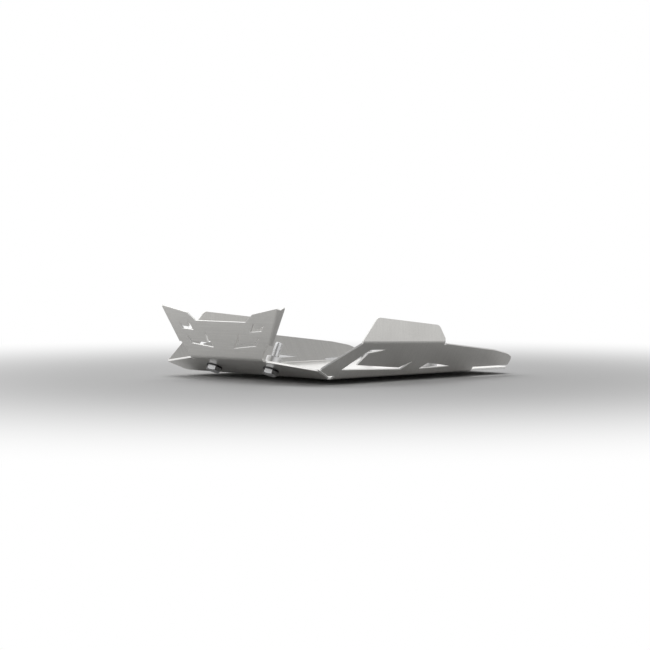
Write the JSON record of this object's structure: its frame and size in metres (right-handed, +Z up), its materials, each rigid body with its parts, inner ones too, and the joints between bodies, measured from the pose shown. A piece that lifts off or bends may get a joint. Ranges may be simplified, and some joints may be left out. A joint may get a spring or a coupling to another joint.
{
  "type": "engine guard",
  "caption": "Folded aluminium engine guard for a motorbike: flat belly, sloping front strip, slotted front plate and swept side wings, with hexagon bolts, washers and spacer tubes.",
  "frame": {"origin": "middle of the footprint, at the level of the lowest bolt heads", "axes": "+X forwards, +Y to the left-hand side, +Z up, as the guard hangs below the engine"},
  "size_m": [0.3102, 0.2634, 0.0743],
  "materials": {
    "sheet_aluminium": "satin, fine grain",
    "fastener_steel": "bright zinc",
    "washer_black": "blackened, satin",
    "spacer_aluminium": "turned"
  },
  "bodies": {
    "root": {"guard_plate": "sheet_aluminium", "mounting_bolts": "fastener_steel", "washers": "washer_black", "spacers": "spacer_aluminium"}
  },
  "joints": []
}
